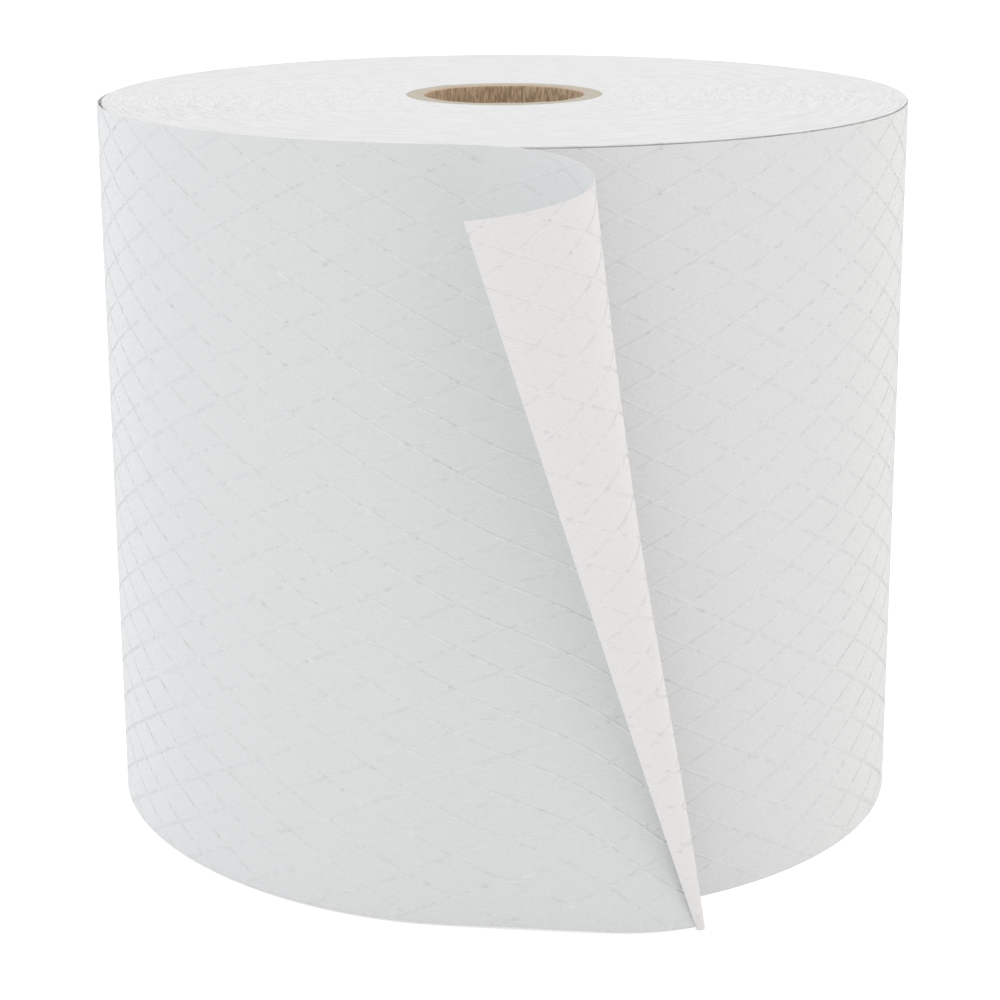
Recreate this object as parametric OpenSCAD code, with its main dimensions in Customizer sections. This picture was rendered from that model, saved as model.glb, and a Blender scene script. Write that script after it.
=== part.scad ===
// Roll of cleaning wipers standing on end: a soft web wound on a cardboard core.
// The last turn is slack along its final third, and its torn end curls forward and back over itself.
// The roll's axis is Z, its lower end stands on Z = 0 and the loose end hangs at the front, towards -Y.

/* [Roll] */
// Outside diameter of the wound roll
roll_d = 355; // [250:1:420]
// Width of the web, which is the height of the roll
web_w = 316; // [200:1:420]
// Thickness of the loose web over its embossing
web_t = 0.7; // [0.5:0.1:1.5]
// How far the outermost turn sits below the upper end face
outer_turn_drop = 1; // [0.2:0.1:3]

/* [Turns shown on the end faces] */
// Radial distance between two drawn turns, each standing for about two dozen real ones
turn_pitch = 8; // [5:0.5:20]
// Width of the fine groove between two drawn turns
groove_w = 0.5; // [0.3:0.1:2]
// Depth of that groove
groove_deep = 0.6; // [0.2:0.1:2]
// Plain ring of the end face left outside the last drawn turn
rim_land = 6; // [3:0.5:20]

/* [Core] */
// Bore of the cardboard core
core_bore_d = 71; // [30:0.5:80]
// Wall of the core
core_wall = 8; // [3:0.5:12]
// How far the core stands above the upper end face
core_proud = 0.6; // [0.1:0.1:4]
// Chamfer that handling has left on the core's upper rim
core_edge = 0.6; // [0.2:0.1:2]
// Radial play between the core and the first turn
core_play = 0.05; // [0.02:0.01:0.2]

/* [Slack last turn] */
// Angle round from the front at which the last turn starts to lift off the roll
slack_from = -125; // [-170:1:-90]
// Angle at which it leaves the roll for good and runs on flat
leave_at = -7.8; // [-20:0.1:0]
// Gap under the slack turn at its upper edge where it leaves
gap_top = 2.1; // [0.8:0.1:6]
// Gap under the slack turn at its lower edge where it leaves
gap_bottom = 10; // [1:0.1:14]
// How far the slack turn's upper edge stands above the end face where it leaves
rise_top = 1.3; // [0.2:0.1:4]
// How far its lower edge is off the floor there
rise_bottom = 1.2; // [0.5:0.1:3]

/* [Curled end] */
// Flat length of web from where it leaves the roll to the tear, along the upper edge
tail_top = 146.8; // [110:0.5:170]
// Depth below the lower edge of the point that the curl fans out from
fan_below = 18.7; // [8:0.1:40]
// Angle of the fan between the first bent line and the upright
fan_angle = 17.95; // [14:0.05:22]
// How sharply the curl bends away from the fold
bend_soft = 5.65; // [3:0.05:8]
// How sharply it bends on the fold itself
bend_fold = 18; // [8:0.1:22]
// Place of the fold, as an angle in from the first bent line
fold_at = 16.7; // [12:0.1:22]
// Half width of the fold, as an angle
fold_half = 2.35; // [1.5:0.05:5]
// How far the fold bows sideways at half height
fold_bow = 3.1; // [0:0.1:6]
// How far the lower corner of the loose end tucks back towards the roll
corner_tuck = 14.5; // [0:0.5:20]

/* [Hidden] */

$fn = 120;
roll_r = roll_d / 2;
core_r = core_bore_d / 2 + core_wall;
core_len = web_w + core_proud;
outer_turn_top = web_w - outer_turn_drop;
// Angle between two facets of the roll's outline
step_a = 4;
// How far the cuts reach past the faces that they open on
cut_over = 1;
// The loosened sheet starts this deep inside the turn that carries it, this far in from that turn's
// two edges, and this many degrees before the step
root_deep = 0.1;
root_inset = 0.2;
root_back_a = 0.2;
// Clearance that the slack turn has as soon as it lifts
first_gap = 0.3;
// Angle over which the slack turn stays sunk in the roll, and the angle that it takes to lift clear
root_a = 4;
lift_a = 0.5;

// Rows and columns of the loosened sheet
rows = 10;
slack_cols = 28;
flat_cols = 8;
curl_cols = 32;

// The lower edge starts to lean away from the roll at this share of the slack stretch
lean_from = 0.42;
// Reach of the tucked corner, along the web and upwards
tuck_reach = 45;
tuck_height = 150;
// Reach of the fold's bow, measured from the tear
bow_reach = 40;

function at(a, r, z) = [r * sin(a), -r * cos(a), z];
function mix(a, b, f) = a + (b - a) * f;
function clamp01(x) = max(0, min(1, x));
function smooth(x) = let (c = clamp01(x)) c * c * (3 - 2 * c);
// The angles that divide a stretch into equal steps of about step_a, without its last end
function steps(from, to) = let (n = ceil((to - from) / step_a)) [for (i = [0:n - 1]) mix(from, to, i / n)];
// Rises from 0 to 1 late and lands level, as a stiff sheet that is pushed off a drum does
function late(x) = let (c = clamp01(x)) c * c * c * (4 - 3 * c);

// Radius of the wound spiral at an angle between leave_at - 360 and leave_at
function wound_r(a) = roll_r + web_t * (a - leave_at + 360) / 360;

// Height of the sheet's own line f, 0 at its lower edge and 1 at its upper edge
function sheet_z(a, f) =
    let (v = smooth((a - slack_from) / (leave_at - slack_from)))
    mix(mix(root_inset, rise_bottom, v), mix(outer_turn_top - root_inset, web_w + rise_top, v), f);

// Radius of the slack turn's outer face
function slack_r(a, f) =
    let (
        v = (a - slack_from) / (leave_at - slack_from),
        top = first_gap + (gap_top - first_gap) * smooth(v),
        lean = (gap_bottom - gap_top) * late((v - lean_from) / (1 - lean_from))
    )
    wound_r(a) + top + lean * (1 - f);

// The flat stretch: along runs with the web, up follows the leaning sheet, out faces the viewer
along = [cos(leave_at), sin(leave_at), 0];
foot = at(leave_at, slack_r(leave_at, 0), sheet_z(leave_at, 0));
head = at(leave_at, slack_r(leave_at, 1), sheet_z(leave_at, 1));
sheet_h = norm(head - foot);
up = (head - foot) / sheet_h;
out = cross(along, up);

// The fan point, placed so that the first bent line meets the upper edge where the web leaves the roll
fan_rise = sheet_h + fan_below;
fan_along = fan_rise * tan(fan_angle);
fan = foot + along * fan_along - up * fan_below;
// The tear is itself a line of the fan, so it runs a little aslant across the web
tear_angle = -atan((tail_top - fan_along) / fan_rise);
curl_span = fan_angle - tear_angle;
curl_step = curl_span / curl_cols;

// Bending per unit of fan angle at an angle in from the first bent line
function bend(a) = bend_soft + (bend_fold - bend_soft) * exp(-pow((a - fold_at) / fold_half, 2));

// Frame of line direction, direction across the lines and outward normal, carried through one small bend
function bent(frame, k) =
    let (
        w = sqrt(1 + k * k),
        m = [[0, 1, 0], [-1, 0, k], [0, -k, 0]],
        turn = w * curl_step,
        still = [[1, 0, 0], [0, 1, 0], [0, 0, 1]]
    )
    (still + m * (sin(turn) / w) + m * m * ((1 - cos(turn)) / (w * w))) * frame;

first_frame = [
    up * cos(fan_angle) - along * sin(fan_angle),
    along * cos(fan_angle) + up * sin(fan_angle),
    out
];
curl_frames = [
    for (i = 0, frame = first_frame; i <= curl_cols; frame = bent(frame, bend((i + 0.5) * curl_step)), i = i + 1)
        frame
];

// Distance of a line of the fan from the tear, measured along the web at row f
function tear_gap(i, f) = (fan_below + sheet_h * f) * (tan(fan_angle - i * curl_step) - tan(tear_angle));

// Sideways bow of the fold and backward tuck of the lower corner
function eased(p, gap, f) =
    let (
        bow = fold_bow * 4 * f * (1 - f) * smooth(gap / bow_reach),
        near = clamp01(1 - gap / tuck_reach),
        low = clamp01(1 - sheet_h * f / tuck_height)
    )
    p - along * bow + [0, corner_tuck * near * near * low * low, 0];

// Point and outward normal of the curl on line i of the fan at row f
function curl_point(i, f) =
    let (
        a = fan_angle - i * curl_step,
        reach = (fan_below + sheet_h * f) / cos(a)
    )
    eased(fan + curl_frames[i][0] * reach, tear_gap(i, f), f);

// Point of the flat wedge between the upright line j = 0 and the first bent line j = flat_cols
function flat_point(j, f) =
    let (
        edge = fan + curl_frames[0][0] * ((fan_below + sheet_h * f) / cos(fan_angle)),
        start = mix(foot, head, f),
        share = j / flat_cols,
        p = mix(start, edge, share)
    )
    eased(p, norm(edge - p) + tear_gap(0, f), f);

// Outer faces of the sheet, one column of points each, from the slack turn to the tear
slack_angles = [for (i = [0:slack_cols]) mix(slack_from + root_a + lift_a, leave_at, i / slack_cols)];
face_cols = concat(
    [for (a = slack_angles) [for (k = [0:rows]) at(a, slack_r(a, k / rows), sheet_z(a, k / rows))]],
    [for (j = [1:flat_cols]) [for (k = [0:rows]) flat_point(j, k / rows)]],
    [for (i = [1:curl_cols]) [for (k = [0:rows]) curl_point(i, k / rows)]]
);
normals = concat(
    [for (a = slack_angles) at(a, 1, 0)],
    [for (j = [1:flat_cols]) out],
    [for (i = [1:curl_cols]) curl_frames[i][2]]
);
back_cols = [for (c = [0:len(face_cols) - 1]) [for (p = face_cols[c]) p - normals[c] * web_t]];

// The sheet is rooted in the wound roll by two columns whose back is sunk in the turn below
sunk_r = wound_r(slack_from) - web_t - first_gap;
root_angles = [slack_from - root_back_a, slack_from + root_a];
root_face = [
    [for (k = [0:rows]) at(root_angles[0], wound_r(slack_from) - root_deep, sheet_z(slack_from, k / rows))],
    [for (k = [0:rows]) at(root_angles[1], slack_r(root_angles[1], k / rows), sheet_z(root_angles[1], k / rows))]
];
root_back = [
    for (c = [0:1]) [for (k = [0:rows]) at(root_angles[c], sunk_r, root_face[c][k][2])]
];

module core_section() {
    polygon([
        [core_bore_d / 2, 0],
        [core_r, 0],
        [core_r, core_len - core_edge],
        [core_r - core_edge, core_len],
        [core_bore_d / 2 + core_edge, core_len],
        [core_bore_d / 2, core_len - core_edge]
    ]);
}

module cardboard_core() {
    color("#b09a7c") rotate_extrude() core_section();
}

// Outline of the wound spiral, inset by a depth, with its one step where the slack turn begins
module spiral_outline(inset) {
    under = [for (a = steps(slack_from, leave_at)) [a, wound_r(a) - web_t]];
    over = [for (a = concat(steps(leave_at - 360, slack_from), slack_from)) [a, wound_r(a)]];
    polygon([for (c = concat(under, over)) [(c[1] - inset) * sin(c[0]), -(c[1] - inset) * cos(c[0])]]);
}

// Half of one drawn turn: half a ring groove about a centre set off by a quarter of the pitch
module half_groove(r, side) {
    translate([-side * turn_pitch / 4, 0, 0]) rotate([0, 0, side > 0 ? 0 : 180]) rotate_extrude(angle = 180)
        translate([r, 0]) square([groove_w, groove_deep + cut_over]);
}

// A two-centre spiral of grooves, which is how a roll's turns read on its end
module turn_grooves() {
    first = core_r + turn_pitch;
    last = roll_r - web_t - rim_land - turn_pitch / 2;
    for (i = [0:floor((last - first) * 2 / turn_pitch)])
        half_groove(first + i * turn_pitch / 2, i % 2 == 0 ? 1 : -1);
}

module wound_turns() {
    difference() {
        union() {
            linear_extrude(web_w) spiral_outline(web_t);
            linear_extrude(outer_turn_top) spiral_outline(0);
        }
        translate([0, 0, -cut_over]) cylinder(r = core_r + core_play, h = web_w + 2 * cut_over);
        translate([0, 0, web_w - groove_deep]) turn_grooves();
        translate([0, 0, -cut_over]) turn_grooves();
    }
}

// A closed shell through two sets of columns, the outer face and the back face of a sheet
module sheet_shell(face, back) {
    n = len(face);
    m = len(face[0]);
    points = [for (c = concat(face, back)) each c];
    side = n * m;
    function id(c, k) = c * m + k;
    faces = concat(
        [for (c = [0:n - 2]) for (k = [0:m - 2]) each [
            [id(c, k), id(c + 1, k + 1), id(c + 1, k)],
            [id(c, k), id(c, k + 1), id(c + 1, k + 1)],
            [side + id(c, k), side + id(c + 1, k), side + id(c + 1, k + 1)],
            [side + id(c, k), side + id(c + 1, k + 1), side + id(c, k + 1)]
        ]],
        [for (c = [0:n - 2]) each [
            [id(c, 0), id(c + 1, 0), side + id(c + 1, 0)],
            [id(c, 0), side + id(c + 1, 0), side + id(c, 0)],
            [id(c, m - 1), side + id(c + 1, m - 1), id(c + 1, m - 1)],
            [id(c, m - 1), side + id(c, m - 1), side + id(c + 1, m - 1)]
        ]],
        [for (k = [0:m - 2]) each [
            [id(0, k), side + id(0, k), side + id(0, k + 1)],
            [id(0, k), side + id(0, k + 1), id(0, k + 1)],
            [id(n - 1, k), side + id(n - 1, k + 1), side + id(n - 1, k)],
            [id(n - 1, k), id(n - 1, k + 1), side + id(n - 1, k + 1)]
        ]]
    );
    polyhedron(points, faces);
}

module loose_end() {
    sheet_shell(
        concat(root_face, face_cols),
        concat(root_back, back_cols)
    );
}

module wiper_web() {
    color("#e6e8e8") union() {
        wound_turns();
        loose_end();
    }
}

cardboard_core();
wiper_web();
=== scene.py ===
"""A roll of cleaning wipers standing on end: a white web with a net of threads in it, wound on a cardboard core.

Lengths are in millimetres until a mesh is made. The roll's axis is Z, it stands on Z = 0, and its loose end hangs
at the front, towards -Y. Angles are degrees round from the front, positive to the right.
"""

import math

import bpy
import numpy as np
from mathutils import Matrix, Vector


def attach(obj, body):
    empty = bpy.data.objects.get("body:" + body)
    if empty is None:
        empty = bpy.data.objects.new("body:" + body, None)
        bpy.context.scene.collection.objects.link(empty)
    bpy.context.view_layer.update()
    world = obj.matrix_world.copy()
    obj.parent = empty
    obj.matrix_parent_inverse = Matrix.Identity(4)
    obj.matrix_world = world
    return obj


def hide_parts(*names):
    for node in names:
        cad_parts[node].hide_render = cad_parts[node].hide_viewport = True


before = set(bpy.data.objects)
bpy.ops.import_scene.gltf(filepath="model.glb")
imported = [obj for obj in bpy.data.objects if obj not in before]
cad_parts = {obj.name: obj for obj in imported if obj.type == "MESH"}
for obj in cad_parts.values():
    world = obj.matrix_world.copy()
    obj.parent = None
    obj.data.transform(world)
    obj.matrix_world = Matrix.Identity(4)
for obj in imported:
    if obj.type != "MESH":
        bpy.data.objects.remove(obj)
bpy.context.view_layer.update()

MM = 0.001

# The roll
ROLL_R = 177.5
WEB_W = 316.0
WEB_T = 0.7
TURN_TOP = WEB_W - 1.0
TURN_PITCH = 8.0
EDGE_DROP = 0.3
RIM_SLOT = 0.7

# The core
CORE_BORE_R = 35.5
CORE_R = 43.5
CORE_TOP = WEB_W + 0.1
CORE_LIP = 1.1
CORE_EDGE = 0.6
CORE_PLAY = 0.05
SEAM_PITCH = 110.0
SEAM_DEEP = 0.35

# The slack last turn
SLACK_FROM = -125.0
LOOSE_FROM = -138.0
LOOSE_OVER = 40.0
CLIMB_FROM = -108.0
CLIMB_OVER = 55.0
LEAVE_AT = -7.8
GAP_TOP = 2.1
GAP_BOTTOM = 10.0
RISE_TOP = 1.3
RISE_BOTTOM = 1.2
LEAN_FROM = 0.42

# The curled end
TAIL_TOP = 146.8
FAN_BELOW = 18.7
FAN_ANGLE = math.radians(17.95)
BEND_SOFT = 5.65
BEND_FOLD = 18.0
FOLD_AT = math.radians(16.7)
FOLD_HALF = math.radians(2.35)
FOLD_BOW = 3.1
BOW_REACH = 40.0
CORNER_TUCK = 14.5
FOLD_DRAW = 14.0
TUCK_REACH = 45.0
TUCK_HEIGHT = 150.0

# The reinforcing threads laid between the two plies: two families of straight lines that cross in long diamonds.
# Each is the slope of its threads, their pitch up the web in millimetres and where the first one lies.
THREADS = ((-0.484, 17.5, 10.75), (0.536, 17.9, 13.0))
THREAD_REACH = 0.85
THREAD_HEIGHT = 0.33
# How much whiter the flanks of threads and dots are painted: painted light against the shade of their bump
FLANK_PAINTED_LIGHT = 0.44

# The bonding dots between the threads, and the fibres
DOTS_ALONG = 12.5
DOTS_UP = 5.6
DOT_HEIGHT = 0.16
FIBRE_HEIGHT = 0.16

# The eye: its place, how many degrees it looks down and its small roll in radians
EYE_AT = (-2.7, -1133.0, 443.35)
EYE_DOWN = 15.535
EYE_ROLL = -0.0043


# Shapes

def smooth(x):
    """Rises from 0 to 1 with level ends: 3 x squared minus 2 x cubed."""
    x = np.clip(x, 0, 1)
    return x * x * (3 - 2 * x)


def late(x):
    """Rises from 0 to 1 late and lands level: 4 x cubed minus 3 x to the fourth."""
    x = np.clip(x, 0, 1)
    return x ** 3 * (4 - 3 * x)


def at(angle, r, z):
    """Points at an angle in degrees round from the front, at radius r and height z."""
    a, r, z = np.broadcast_arrays(np.radians(angle), r, z)
    return np.stack([r * np.sin(a), -r * np.cos(a), z], -1)


def wound_r(angle):
    """Radius of the last wound turn: it grows by one web thickness over the turn that ends at LEAVE_AT."""
    return ROLL_R + WEB_T * (angle - LEAVE_AT + 360) / 360


def slack_turn(angle, f):
    """Outer face of the last turn at height share f. It comes loose in two steps, at the rear left and towards
    LEAVE_AT, its upper edge climbs on the left, and its lower edge leans out further, late in the slack stretch."""
    v = (angle - SLACK_FROM) / (LEAVE_AT - SLACK_FROM)
    lean = (GAP_BOTTOM - GAP_TOP) * late((v - LEAN_FROM) / (1 - LEAN_FROM))
    loose = 0.5 * smooth((angle - LOOSE_FROM) / LOOSE_OVER) + 0.5 * smooth(v)
    r = wound_r(angle) + GAP_TOP * loose + lean * (1 - f)
    low = RISE_BOTTOM * smooth(v)
    high = TURN_TOP + (WEB_W + RISE_TOP - TURN_TOP) * smooth((angle - CLIMB_FROM) / CLIMB_OVER)
    return at(angle, r, low + (high - low) * f)


FOOT, HEAD = slack_turn(LEAVE_AT, 0.0), slack_turn(LEAVE_AT, 1.0)
SHEET_H = np.linalg.norm(HEAD - FOOT)
UP = (HEAD - FOOT) / SHEET_H
ALONG = np.array([math.cos(math.radians(LEAVE_AT)), math.sin(math.radians(LEAVE_AT)), 0.0])
OUT = np.cross(ALONG, UP)
FAN_ALONG = (SHEET_H + FAN_BELOW) * math.tan(FAN_ANGLE)
FAN = FOOT + ALONG * FAN_ALONG - UP * FAN_BELOW
TEAR_ANGLE = -math.atan((TAIL_TOP - FAN_ALONG) / (SHEET_H + FAN_BELOW))


def fan_frames(turned):
    """Frames (line, across, normal) carried over the fan to each angle in `turned`. Each small step turns the frame
    about the line by the bending there and about the normal by the fan's own angle, as a developable cone bends."""
    line = UP * math.cos(FAN_ANGLE) - ALONG * math.sin(FAN_ANGLE)
    across = ALONG * math.cos(FAN_ANGLE) + UP * math.sin(FAN_ANGLE)
    made = [np.array([line, across, OUT])]
    for a, b in zip(turned[:-1], turned[1:]):
        k = BEND_SOFT + (BEND_FOLD - BEND_SOFT) * math.exp(-(((a + b) / 2 - FOLD_AT) / FOLD_HALF) ** 2)
        w = math.hypot(1, k)
        m = np.array([[0, 1, 0], [-1, 0, k], [0, -k, 0]])
        turn = w * (b - a)
        made.append((np.eye(3) + m * math.sin(turn) / w + m @ m * (1 - math.cos(turn)) / w ** 2) @ made[-1])
    return np.array(made)


def eased(p, x, gap, f):
    """Bows the fold sideways at half height and tucks the lower corner back. x is the distance from where the web
    leaves the roll, and gap the distance to the tear: the bow fades out towards both."""
    bow = FOLD_BOW * 4 * f * (1 - f) * smooth(gap / BOW_REACH) * smooth(x / BOW_REACH)
    near = np.clip(1 - gap / TUCK_REACH, 0, 1)
    low = np.clip(1 - SHEET_H * f / TUCK_HEIGHT, 0, 1)
    return p - ALONG * bow[..., None] + np.array([0, 1, 0]) * (CORNER_TUCK * near ** 2 * low ** 2)[..., None]


def loose_web(turn_cols, flat_cols, curl_cols, rows):
    """The last turn, the flat stretch and the curl as one grid of columns along the web and rows up it.

    Returns the points of the outer face, its normals, and the same points on the web laid flat: millimetres along
    it from where it leaves the roll, and up from its lower edge."""
    f = np.linspace(0, 1, rows)[None, :]
    a = np.linspace(LEAVE_AT - 361, LEAVE_AT, turn_cols)[:, None]
    rise = FAN_BELOW + SHEET_H * f

    turn = slack_turn(a, f)
    turn_n = at(a, 1.0, 0.0 * f)
    turn_x = np.radians(a - LEAVE_AT) * (ROLL_R + WEB_T) + 0 * f

    turned = np.linspace(0, FAN_ANGLE - TEAR_ANGLE, curl_cols)
    frames = fan_frames(turned)
    fan_a = (FAN_ANGLE - turned)[:, None]
    gap = rise * (np.tan(fan_a) - math.tan(TEAR_ANGLE))
    curl_x = FAN_ALONG - rise * np.tan(fan_a)
    curl = eased(FAN + frames[:, None, 0] * (rise / np.cos(fan_a))[..., None], curl_x, gap, f)
    curl_n = np.repeat(frames[:, None, 2], rows, 1)

    share = np.linspace(0, 1, flat_cols)[:, None]
    start = FOOT + (HEAD - FOOT) * f[..., None]
    edge = FAN + frames[0, 0] * (rise / math.cos(FAN_ANGLE))[..., None]
    flat = start + (edge - start) * share[..., None]
    flat_x = curl_x[0] * share
    flat = eased(flat, flat_x, np.linalg.norm(edge - flat, axis=-1) + gap[0], f)
    flat_n = np.broadcast_to(OUT, flat.shape)

    points = np.concatenate([turn, flat[1:], curl[1:]])
    normals = np.concatenate([turn_n, flat_n[1:], curl_n[1:]])
    x = np.concatenate([turn_x, flat_x[1:], curl_x[1:]])
    return points, normals, np.stack([x, 0 * x + WEB_W * f, 0 * x], -1)


def drawn_out(flat):
    """The same flat places with the pattern drawn towards the fold, level at the leave line and at the tear."""
    x = np.clip(flat[..., 0], 0, None)
    tear = x[-1:] + 0 * x
    drawn = flat.copy()
    drawn[..., 0] -= FOLD_DRAW * np.sin(math.pi * np.clip(x / tear, 0, 1)) ** 2
    return drawn


def band(cols, rows, wrap_cols=False, wrap_rows=False, first=0):
    """Quads of a grid of cols by rows points, numbered down the columns, closed round either way if asked."""
    i = np.arange(cols if wrap_cols else cols - 1)[:, None]
    k = np.arange(rows if wrap_rows else rows - 1)[None, :]
    i2, k2 = (i + 1) % cols, (k + 1) % rows
    quads = np.stack([i * rows + k, i2 * rows + k, i2 * rows + k2, i * rows + k2], -1)
    return quads.reshape(-1, 4) + first


def make(name, points, faces, finish, flat=None, crease=35):
    """A mesh object from points in millimetres, smooth apart from edges sharper than crease degrees. `flat` gives
    the points' places on the web laid flat."""
    mesh = bpy.data.meshes.new(name)
    mesh.from_pydata((points.reshape(-1, 3) * MM).tolist(), [], faces.tolist())
    mesh.polygons.foreach_set("use_smooth", np.ones(len(mesh.polygons), bool))
    mesh.set_sharp_from_angle(angle=math.radians(crease))
    if flat is not None:
        places = mesh.attributes.new("flat", "FLOAT_VECTOR", "POINT").data
        places.foreach_set("vector", flat.astype(np.float32).ravel())
    mesh.materials.append(finish)
    mesh.validate()
    thing = bpy.data.objects.new(name, mesh)
    bpy.context.scene.collection.objects.link(thing)
    return thing


def shell(face, back):
    """Points and quads of a sheet with two faces: each column runs up the outer face and down the back one, the
    columns join into a flat tube, and both ends are closed."""
    cols, rows = face.shape[:2]
    loop = np.concatenate([face, back[:, ::-1]], 1)
    k = np.arange(rows - 1)
    low = np.stack([k, k + 1, 2 * rows - 2 - k, 2 * rows - 1 - k], -1)
    high = low[:, ::-1] + (cols - 1) * 2 * rows
    return loop, np.concatenate([band(cols, 2 * rows, wrap_rows=True), low, high])


# Materials

def colour(code):
    """Linear colour of an sRGB hex code."""
    c = np.array([int(code[i:i + 2], 16) for i in (1, 3, 5)]) / 255
    return (*np.where(c <= 0.04045, c / 12.92, ((c + 0.055) / 1.055) ** 2.4), 1.0)


def add(tree, kind, feed=(), **settings):
    """Adds one shader node. Settings are its own options, and feed gives its inputs, each a value or a socket."""
    made = tree.nodes.new("ShaderNode" + kind)
    for key, value in settings.items():
        setattr(made, key, value)
    for key, value in dict(feed).items():
        if isinstance(value, bpy.types.NodeSocket):
            tree.links.new(value, made.inputs[key])
        else:
            made.inputs[key].default_value = value
    return made


def surface(name):
    """A new material and its tree, with no nodes left in it."""
    material = bpy.data.materials.new(name)
    material.use_nodes = True
    material.node_tree.nodes.clear()
    return material, material.node_tree


def scalar(tree, operation, *values):
    """A number worked out from one to three others, each a value or a socket."""
    return add(tree, "Math", dict(enumerate(values)), operation=operation).outputs[0]


def dot(tree, a, b):
    """The dot product of two vectors."""
    return add(tree, "VectorMath", {0: a, 1: b}, operation="DOT_PRODUCT").outputs["Value"]


def spread(tree, value, start, end, first=0.0, last=1.0, curve="LINEAR"):
    """A number carried from the range start to end onto the range first to last, and level outside it."""
    feed = {0: value, 1: start, 2: end, 3: first, 4: last}
    return add(tree, "MapRange", feed, interpolation_type=curve).outputs[0]


def mixed(tree, share, low, high):
    """A colour between low and high, at a share from 0 to 1."""
    return add(tree, "Mix", {0: share, 6: low, 7: high}, data_type="RGBA").outputs[2]


def round_the_axis(tree):
    """A place on the piece, the part of it across the roll's axis, and its distance from the axis, in metres."""
    place = add(tree, "TexCoord").outputs["Object"]
    xyz = add(tree, "SeparateXYZ", {0: place}).outputs
    ring = add(tree, "CombineXYZ", {0: xyz[0], 1: xyz[1]}).outputs[0]
    return place, ring, add(tree, "VectorMath", {0: ring}, operation="LENGTH").outputs["Value"]


def thread_reinforced_tissue():
    """Two plies of soft white tissue with a net of threads between them. The eye sees a matt fibrous white with the
    threads standing up as fine crossing ridges on both faces and small raised bonding dots in a staggered lattice
    between them. Painted light: the inner face is painted lighter and warmer, and the flanks of threads and dots
    lighter; a grey line on the torn edge is painted shade of the gap between the two plies."""
    material, t = surface("thread_reinforced_tissue")
    flat = add(t, "Attribute", attribute_name="flat").outputs["Vector"]
    ply = add(t, "SeparateXYZ", {0: flat}).outputs[2]
    plane = add(t, "VectorMath", {0: flat, 1: (1, 1, 0)}, operation="MULTIPLY").outputs[0]
    # The tissue is drawn tighter over a thread in some places than in others, over about 4 mm
    slack = add(t, "TexNoise", {"Vector": plane, "Scale": 0.25, "Detail": 2.0}).outputs[0]
    taut = spread(t, slack, 0.3, 0.7, 0.6, 1.3)
    # Each thread makes a ridge that falls off within THREAD_REACH on each side of it
    ridges = []
    for slope, pitch, first in THREADS:
        n = scalar(t, "ADD", dot(t, plane, (slope / pitch, 1 / pitch, 0)), -first / pitch)
        off = scalar(t, "PINGPONG", n, 0.5)
        reach = THREAD_REACH * math.hypot(1, slope) / pitch
        ridges.append(spread(t, off, 0.0, reach, 1.0, 0.0, "SMOOTHSTEP"))
    crests = scalar(t, "MAXIMUM", *ridges)
    # Bonding dots 2 mm by 1 mm in a staggered lattice
    p = dot(t, plane, (1 / DOTS_ALONG, 1 / DOTS_UP, 0))
    q = dot(t, plane, (1 / DOTS_ALONG, -1 / DOTS_UP, 0))
    lattice = add(t, "CombineXYZ", {0: p, 1: q}).outputs[0]
    cell = add(t, "TexVoronoi", {"Vector": lattice, "Scale": 1.0, "Randomness": 0.55},
               voronoi_dimensions="2D").outputs["Distance"]
    dots = spread(t, cell, 0.04, 0.13, 1.0, 0.0, "SMOOTHSTEP")
    # Fibres lie mostly along the web: flecks about 2.5 mm long and 0.5 mm high
    along = add(t, "VectorMath", {0: plane, 1: (0.4, 2.0, 1)}, operation="MULTIPLY").outputs[0]
    fibre = add(t, "TexNoise", {"Vector": along, "Scale": 1.0, "Detail": 3.0, "Roughness": 0.6}).outputs[0]
    height = scalar(t, "MULTIPLY", scalar(t, "MULTIPLY", crests, taut), THREAD_HEIGHT)
    height = scalar(t, "MULTIPLY_ADD", dots, DOT_HEIGHT, height)
    height = scalar(t, "MULTIPLY_ADD", fibre, FIBRE_HEIGHT, height)
    bump = add(t, "Bump", {"Height": height, "Strength": 1.0, "Distance": MM}).outputs[0]
    # The outer face is a cool white. The inner face, seen on the curl, is painted a little lighter and warmer:
    # painted light for the warm light from the right that falls on the curl
    tint = spread(t, fibre, 0.3, 0.7)
    outer = mixed(t, tint, colour("#dfe1e1"), colour("#e5e6e6"))
    inner = mixed(t, tint, colour("#e7e5e4"), colour("#edebea"))
    base = mixed(t, spread(t, ply, 0.6, 0.9), outer, inner)
    # Painted light: the flanks of the threads and dots are painted whiter, by a share of m (1 - m) where m is how
    # far it is raised, to offset the shade that their bump puts on them
    raised = scalar(t, "MAXIMUM", crests, dots)
    painted_light_flank_mask = scalar(t, "MULTIPLY", raised, scalar(t, "SUBTRACT", 1.0, raised))
    painted_flank_light = scalar(t, "MULTIPLY_ADD", painted_light_flank_mask, FLANK_PAINTED_LIGHT, 1.0)
    base = add(t, "VectorMath", {0: base, "Scale": painted_flank_light}, operation="SCALE").outputs[0]
    # Painted shade: a thin grey line across the middle of the torn edge stands for the shade in the gap between the
    # plies
    seam = scalar(t, "COMPARE", ply, 0.45, 0.12)
    base = mixed(t, seam, base, colour("#c9c3b8"))
    # Loose fibres on the face give the cloth its sheen
    shader = add(t, "BsdfPrincipled", {"Base Color": base, "Roughness": 0.92, "IOR": 1.46, "Sheen Weight": 1.0,
                                       "Sheen Roughness": 0.4, "Specular IOR Level": 0.2, "Normal": bump})
    add(t, "OutputMaterial", {0: shader.outputs[0]})
    return material


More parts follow.
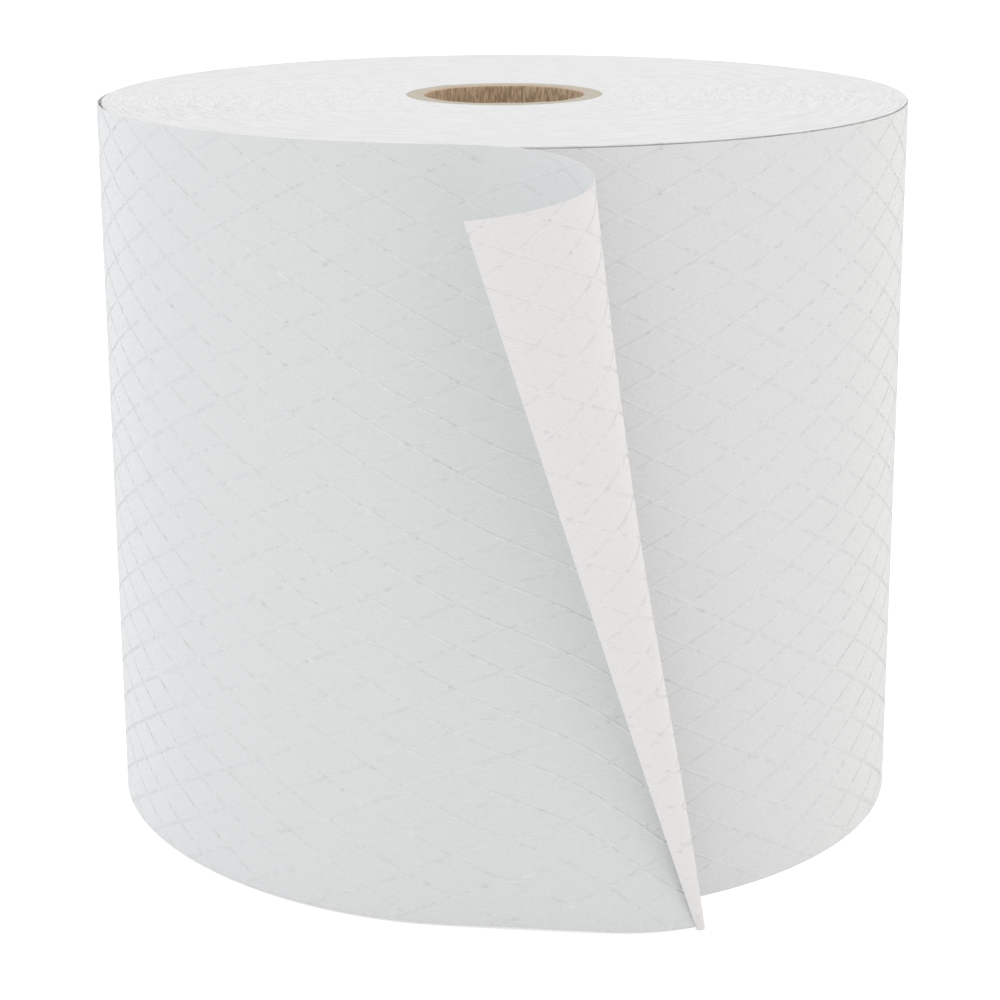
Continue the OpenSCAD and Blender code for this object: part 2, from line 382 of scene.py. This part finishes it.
def wound_edges():
    """The same web seen on its cut edges, hundreds of turns pressed side by side. The eye sees a matt white with
    fine rings that waver a little, some of them slightly greyer."""
    material, t = surface("wound_web_edges")
    place, ring, r = round_the_axis(t)
    turn = add(t, "VectorMath", {0: ring}, operation="NORMALIZE").outputs[0]
    # Rings about 0.8 mm apart that waver over some 12 mm round the roll
    lift = add(t, "CombineXYZ", {2: scalar(t, "MULTIPLY", r, 1250.0)}).outputs[0]
    around = add(t, "VectorMath", {0: turn, 1: (9.0, 9.0, 0.0), 2: lift}, operation="MULTIPLY_ADD").outputs[0]
    fine = add(t, "TexNoise", {"Vector": around, "Scale": 1.0, "Detail": 3.0, "Roughness": 0.6}).outputs[0]
    # Small grey flecks where an edge is rubbed, in a few stretches of the roll only
    patch = add(t, "TexNoise", {"Vector": place, "Scale": 9.0, "Detail": 1.0}).outputs[0]
    fleck = add(t, "TexNoise", {"Vector": around, "Scale": 1.7, "Detail": 1.0}).outputs[0]
    rubbed = spread(t, scalar(t, "MULTIPLY_ADD", patch, 0.5, fleck), 0.98, 1.06)
    base = mixed(t, spread(t, fine, 0.3, 0.7), colour("#e9e9e9"), colour("#ffffff"))
    base = mixed(t, rubbed, base, colour("#c9cacb"))
    height = scalar(t, "MULTIPLY", fine, 0.36)
    bump = add(t, "Bump", {"Height": height, "Strength": 1.0, "Distance": MM}).outputs[0]
    shader = add(t, "BsdfPrincipled", {"Base Color": base, "Roughness": 0.95, "IOR": 1.46,
                                       "Specular IOR Level": 0.2, "Normal": bump})
    add(t, "OutputMaterial", {0: shader.outputs[0]})
    return material


def spiral_board():
    """Greyboard tube, spiral wound and cut square. The eye sees a beige rim with dark flecks, brown kraft inside
    and a paler line on the inner lip."""
    material, t = surface("spiral_wound_board")
    place, ring, r = round_the_axis(t)
    # Flecks of recycled fibre, about 0.8 mm across
    flecks = add(t, "TexNoise", {"Vector": place, "Scale": 1200.0, "Detail": 3.0, "Roughness": 0.7}).outputs[0]
    rim = mixed(t, spread(t, flecks, 0.35, 0.6), colour("#b5ac9a"), colour("#dbd3c4"))
    # Scuffs on the kraft liner run up the bore, 1 mm wide and some 4 mm long
    upright = add(t, "VectorMath", {0: place, 1: (1000.0, 1000.0, 250.0)}, operation="MULTIPLY").outputs[0]
    scuffs = add(t, "TexNoise", {"Vector": upright, "Scale": 1.0, "Detail": 2.0}).outputs[0]
    kraft = mixed(t, spread(t, scuffs, 0.38, 0.62), colour("#b0967a"), colour("#ddc6a8"))
    # The cut liner shows as a paler, pinkish line round the inner lip
    liner = spread(t, r, (CORE_BORE_R + 0.55) * MM, (CORE_BORE_R + 0.75) * MM)
    rim = mixed(t, liner, colour("#dcc3b0"), rim)
    inside = spread(t, r, (CORE_BORE_R + 0.05) * MM, (CORE_BORE_R + 0.2) * MM)
    base = mixed(t, inside, kraft, rim)
    bump = add(t, "Bump", {"Height": flecks, "Strength": 0.4, "Distance": 0.4 * MM}).outputs[0]
    shader = add(t, "BsdfPrincipled", {"Base Color": base, "Roughness": 0.85, "IOR": 1.5,
                                       "Specular IOR Level": 0.3, "Normal": bump})
    add(t, "OutputMaterial", {0: shader.outputs[0]})
    return material


web_finish = thread_reinforced_tissue()
edge_finish = wound_edges()
board_finish = spiral_board()


# Camera

eye = bpy.data.objects.new("eye", bpy.data.cameras.new("eye"))
bpy.context.scene.collection.objects.link(eye)
bpy.context.scene.camera = eye
eye.data.sensor_width = 36
eye.data.lens = 91.09
eye.data.clip_start = 0.05
eye.data.clip_end = 30
look = Matrix.Rotation(math.radians(90 - EYE_DOWN), 4, "X") @ Matrix.Rotation(EYE_ROLL, 4, "Z")
eye.matrix_world = Matrix.Translation([c * MM for c in EYE_AT]) @ look


# Pieces

# The loose web: last turn, flat stretch and curl
points, normals, flat = loose_web(300, 14, 90, 91)
back = points - normals * WEB_T
loop, faces = shell(points, back)
outer = drawn_out(flat)
flat_loop = np.concatenate([outer, outer[:, ::-1] + np.array([0, 0, 1])], 1)
last_turn = make("loose_web", loop, faces, web_finish, flat_loop)
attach(last_turn, "root")
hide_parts("wiper_web")


def end_relief(r, angle):
    """How far the cut edges of the turns stand proud, in millimetres: sine waves along the spiral coordinate,
    radius less one pitch a turn, that fade in and out round the roll. Each wave has its length, height and phase,
    how often it fades in a turn, and where."""
    w = r - TURN_PITCH * angle / 360
    a = np.radians(angle)
    waves = ((8.0, 0.03, 0.4, 1, 0.5), (5.3, 0.02, 2.1, 2, 1.9),
             (3.4, 0.02, 4.4, 1, 4.0), (12.7, 0.04, 1.2, 3, 2.6))
    return sum(high * np.sin(2 * math.pi * w / length + phase) * (0.7 + 0.3 * np.sin(n * a + turn))
               for length, high, phase, n, turn in waves)


def wound_body():
    """The wound turns as one closed ring. The profile runs up the bore, out over the upper end, down the side and
    back under the lower end, and the side's radius follows the spiral, with its one step at LEAVE_AT."""
    angle = np.append(np.linspace(LEAVE_AT - 360, LEAVE_AT, 241)[:-1], LEAVE_AT - 0.01)[:, None]
    rim = wound_r(angle) - WEB_T
    share = np.linspace(0, 1, 134)[None, :]
    bore = CORE_R + CORE_PLAY
    r = bore + (rim - bore) * share
    fade = smooth((r - bore) / 4) * smooth((rim - r) / 3)
    relief = end_relief(r, angle) * fade
    over = at(angle, r, WEB_W - EDGE_DROP * fade + relief)
    under = at(angle, r, EDGE_DROP * fade - relief * 0.6)[:, ::-1]
    # Just under the upper rim the last turns part and leave a shallow slot, which shows as a dark line
    slot = np.array([[0.5, 0.54, 1.5, 3.0]])
    wall = at(angle, rim - RIM_SLOT * np.array([[0, 1, 1, 0]]), WEB_W - slot)
    side = at(angle, rim, WEB_W * np.array([[0.6, 0.3, 0.02]]))
    grid = np.concatenate([over, wall, side, under], 1)
    return grid, band(grid.shape[0], grid.shape[1], wrap_cols=True, wrap_rows=True)


grid, faces = wound_body()
body = make("wound_turns", grid, faces, edge_finish, crease=50)
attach(body, "root")
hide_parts("wiper_web")


def core_tube():
    """The core as one closed ring: up the bore, over the rim with both lips eased, down the outside and back under.
    A ply seam winds up the bore as a shallow valley."""
    angle = np.linspace(0, 360, 180, endpoint=False)[:, None]
    z = np.linspace(0, CORE_TOP - CORE_LIP, 80)[None, :]
    seam = (z / SEAM_PITCH + angle / 360 + 0.35) % 1 - 0.5
    inside = at(angle, CORE_BORE_R + SEAM_DEEP * np.exp(-(seam / 0.006) ** 2), z)
    turn = np.linspace(0, math.pi / 2, 5)[None, 1:]
    uneven = 0.10 * np.sin(np.radians(angle) * 5 + 1) + 0.06 * np.sin(np.radians(angle) * 13 + 2)
    lip = at(angle, CORE_BORE_R + CORE_LIP * (1 - np.cos(turn)),
             CORE_TOP - CORE_LIP * (1 - np.sin(turn)) + uneven * np.sin(turn))
    mid = at(angle, np.linspace(CORE_BORE_R + 1.8, CORE_R - 1.5, 7)[None, :], CORE_TOP + uneven)
    rim = at(angle, CORE_R - CORE_EDGE * (1 - np.sin(turn)),
             CORE_TOP - CORE_EDGE * (1 - np.cos(turn)) + uneven * np.cos(turn))
    outside = at(angle, CORE_R, np.array([[CORE_TOP / 2, 0]]))
    grid = np.concatenate([inside, lip, mid, rim, outside], 1)
    return grid, band(grid.shape[0], grid.shape[1], wrap_cols=True, wrap_rows=True)


grid, faces = core_tube()
core = make("core_tube", grid, faces, board_finish)
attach(core, "root")
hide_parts("cardboard_core")


# Floor and light

floor_finish, t = surface("pale_floor")
seen = add(t, "LightPath").outputs["Is Camera Ray"]
# A white light table: it glows softly from below, and a little more to the camera, which sees it pure white
glow = add(t, "Math", {0: seen, 1: 0.3, 2: 0.15}, operation="MULTIPLY_ADD").outputs[0]
paint = add(t, "BsdfPrincipled", {"Base Color": colour("#fafafa"), "Roughness": 0.9, "Specular IOR Level": 0.1,
                                  "Emission Color": (1, 1, 1, 1), "Emission Strength": glow})
add(t, "OutputMaterial", {0: paint.outputs[0]})
corners = np.array([[-6000, -6000, 0], [6000, -6000, 0], [6000, 6000, 0], [-6000, 6000, 0]], float)
floor = make("floor", corners, np.array([[0, 1, 2, 3]]), floor_finish)

world = bpy.data.worlds.new("studio")
bpy.context.scene.world = world
world.use_nodes = True
t = world.node_tree
t.nodes.clear()
rays = add(t, "LightPath").outputs
seen = add(t, "Math", {0: rays["Is Camera Ray"], 1: rays["Is Glossy Ray"]}, operation="MAXIMUM").outputs[0]
seen = add(t, "Math", {0: seen, 1: rays["Is Transmission Ray"]}, operation="MAXIMUM").outputs[0]
room = add(t, "Background", {0: (1, 1, 1, 1), 1: 0.86}).outputs[0]
white = add(t, "Background", {0: (1, 1, 1, 1), 1: 1.0}).outputs[0]
both = add(t, "MixShader", {0: seen, 1: room, 2: white}).outputs[0]
add(t, "OutputWorld", {0: both})


def lamp(name, place, size, watts, tint):
    """A soft square lamp at a place in metres, turned to the middle of the roll."""
    light = bpy.data.objects.new(name, bpy.data.lights.new(name, "AREA"))
    light.data.shape = "RECTANGLE"
    light.data.size, light.data.size_y = size
    light.data.energy = watts
    light.data.color = colour(tint)[:3]
    bpy.context.scene.collection.objects.link(light)
    back = Vector(place) - Vector((0, 0, WEB_W * MM / 2))
    light.matrix_world = Matrix.Translation(place) @ back.to_track_quat("Z", "Y").to_matrix().to_4x4()


lamp("left_softbox", (-2.4, -0.2, 0.55), (1.6, 1.0), 2.2, "#d8eaff")
lamp("rear_left_softbox", (-1.9, 1.5, 0.7), (1.2, 1.2), 4.5, "#e0f0ff")
lamp("right_softbox", (2.4, -0.2, 0.55), (1.6, 1.0), 2.6, "#ffe6cc")
lamp("rear_right_softbox", (1.9, 1.5, 0.7), (1.2, 1.2), 2.5, "#fff0e0")
lamp("top_softbox", (0.0, 0.2, 2.4), (2.4, 2.4), 2.0, "#ffffff")

bpy.context.scene.view_settings.view_transform = "Standard"
